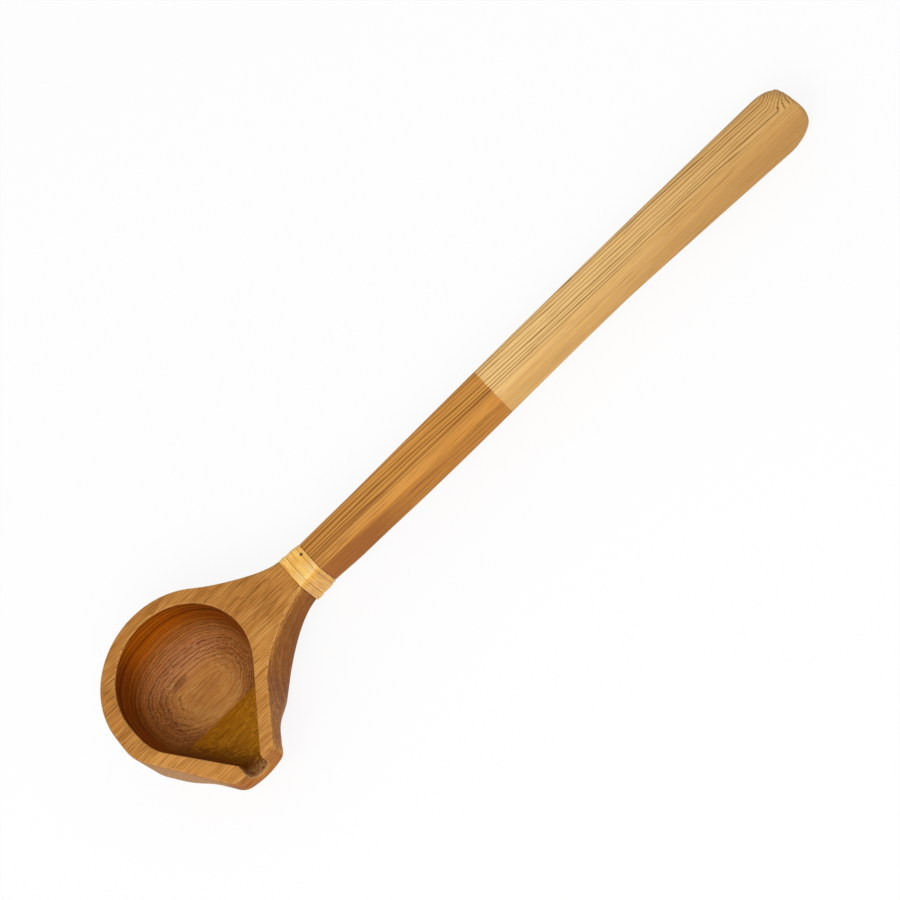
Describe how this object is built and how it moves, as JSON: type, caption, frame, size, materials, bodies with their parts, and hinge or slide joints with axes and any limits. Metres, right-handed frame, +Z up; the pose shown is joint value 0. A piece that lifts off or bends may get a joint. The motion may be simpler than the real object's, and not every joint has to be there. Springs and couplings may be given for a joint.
{
  "type": "sauna ladle",
  "caption": "Wooden sauna ladle with a round carved bowl, a notched pouring spout at its side, a long straight handle and a cane binding at the neck, for scooping and pouring water.",
  "frame": {"origin": "middle of the bowl's flat base, straight under the middle of the hollow, on the surface the ladle rests on", "axes": "+X from the bowl along the handle, +Y away from the spout, +Z up out of the bowl"},
  "size_m": [0.4335, 0.0994, 0.0447],
  "materials": {
    "oiled_wood": "carved red-brown wood, oiled, satin",
    "handle_wood": "striped wood, oiled towards the binding and bare towards the end",
    "dowel_wood": "bare turned hardwood",
    "cane": "split cane, smooth and slightly glossy",
    "dark_steel": "darkened steel brad"
  },
  "bodies": {
    "root": {"bowl_head": "oiled_wood", "handle": "handle_wood", "dowel": "dowel_wood", "binding_lower_strip": "cane", "binding_middle_strip": "cane", "binding_upper_strip": "cane", "binding_pin": "dark_steel"}
  },
  "joints": []
}
